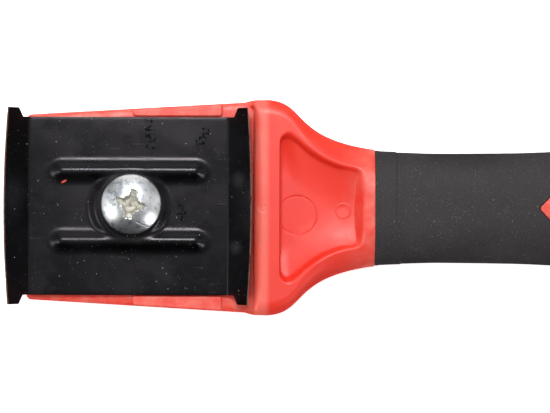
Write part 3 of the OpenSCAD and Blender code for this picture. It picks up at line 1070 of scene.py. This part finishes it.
# Each light: name, degrees from straight above, heading, distance and size in metres, watts
LIGHTS = [
    ("softbox_top", 26, 90, 0.55, (0.14, 0.18), 2.5),
    ("softbox_left", 56, 200, 1.2, (0.4, 0.4), 3.0),
    ("softbox_right", 60, -39, 1.2, (0.32, 0.32), 2.6),
    ("panel_left", 70, 175, 1.2, (0.7, 0.5), 0.8),
    ("panel_right", 66, 5, 1.2, (0.6, 0.6), 0.6),
    ("panel_far", 76, 90, 1.2, (1.4, 0.3), 1.4),
]
EXPOSURE = -0.13


def build_floor():
    """A bright white sheet just under the object, in metres, that metal doesn't mirror."""
    half, z = 3.0, -0.00005
    mesh = bpy.data.meshes.new("floor")
    corners = [(-half, -half, z), (half, -half, z), (half, half, z), (-half, half, z)]
    mesh.from_pydata(corners, [], [(0, 1, 2, 3)])
    floor = bpy.data.objects.new("floor", mesh)
    bpy.context.scene.collection.objects.link(floor)
    n = Nodes("white_floor")
    n.set(Base_Color=(0.9, 0.9, 0.9, 1), Roughness=0.9)
    n.shader.inputs["Emission Color"].default_value = (1, 1, 1, 1)
    n.shader.inputs["Emission Strength"].default_value = 0.86
    mesh.materials.append(n.material)
    floor.visible_glossy = False


def add_light(name, off_axis, heading, distance, size, power):
    """A soft box that faces the head of the tool, off_axis degrees from straight above."""
    light = bpy.data.lights.new(name, "AREA")
    light.shape = "RECTANGLE"
    light.size, light.size_y = size
    light.energy = power
    lamp = bpy.data.objects.new(name, light)
    a, h = math.radians(off_axis), math.radians(heading)
    way = Vector((math.sin(a) * math.cos(h), math.sin(a) * math.sin(h), math.cos(a)))
    target = Vector(((SCREW_X + X0) / 1000, 0, 0.02))
    lamp.location = target + way * distance
    lamp.rotation_euler = way.to_track_quat("Z", "Y").to_euler()
    lamp.visible_camera = False
    bpy.context.scene.collection.objects.link(lamp)


def level_ramp(tree, value, levels):
    """A grey level that follows the value through the given stops."""
    ramp = tree.nodes.new("ShaderNodeValToRGB")
    tree.links.new(value, ramp.inputs[0])
    while len(ramp.color_ramp.elements) < len(levels):
        ramp.color_ramp.elements.new(0.5)
    for element, (at, level) in zip(ramp.color_ramp.elements, levels):
        element.position = at
        element.color = (level, level, level, 1)
    return ramp.outputs[0]


def build_world():
    """A white studio whose brightness changes with height and from the near side to the far side."""
    world = bpy.data.worlds.new("studio")
    world.use_nodes = True
    tree = world.node_tree
    way = tree.nodes.new("ShaderNodeTexCoord")
    split = tree.nodes.new("ShaderNodeSeparateXYZ")
    tree.links.new(way.outputs["Generated"], split.inputs[0])
    across = tree.nodes.new("ShaderNodeMapRange")
    across.inputs["From Min"].default_value = -1
    tree.links.new(split.outputs["Y"], across.inputs["Value"])
    both_ways = tree.nodes.new("ShaderNodeMixRGB")
    both_ways.blend_type = "MULTIPLY"
    both_ways.inputs[0].default_value = 1
    tree.links.new(level_ramp(tree, split.outputs["Z"], CEILING), both_ways.inputs[1])
    tree.links.new(level_ramp(tree, across.outputs[0], SIDES), both_ways.inputs[2])
    tree.links.new(both_ways.outputs[0], tree.nodes["Background"].inputs["Color"])
    bpy.context.scene.world = world


def build_stage():
    build_floor()
    for light in LIGHTS:
        add_light(*light)
    build_world()
    view = bpy.context.scene.view_settings
    view.view_transform = "Standard"
    view.look = "None"
    view.exposure = EXPOSURE


def build_camera():
    """A long lens straight above the head, as the object was photographed."""
    data = bpy.data.cameras.new("camera")
    data.lens = 204
    data.sensor_width = 36
    data.clip_end = 20
    camera = bpy.data.objects.new("camera", data)
    stand_x, stand_y, distance = 87.2, 0.4, 1000
    camera.location = ((stand_x + X0) / 1000, stand_y / 1000, (TIP_Z + distance) / 1000)
    camera.rotation_euler = (0, 0, math.radians(0.2))
    bpy.context.scene.collection.objects.link(camera)
    bpy.context.scene.camera = camera


# ---- Build ----

build_core(red_plastic())
build_grip(black_rubber())
build_blade(black_steel(), ground_steel())
screw_piece = build_screw(zinc("zinc_screw", 1.0, True))
add_grime(screw_piece)
build_washer(zinc("zinc_washer", 0.66, False))
build_nut(zinc("zinc_nut", 0.70, False))
build_stage()
build_camera()
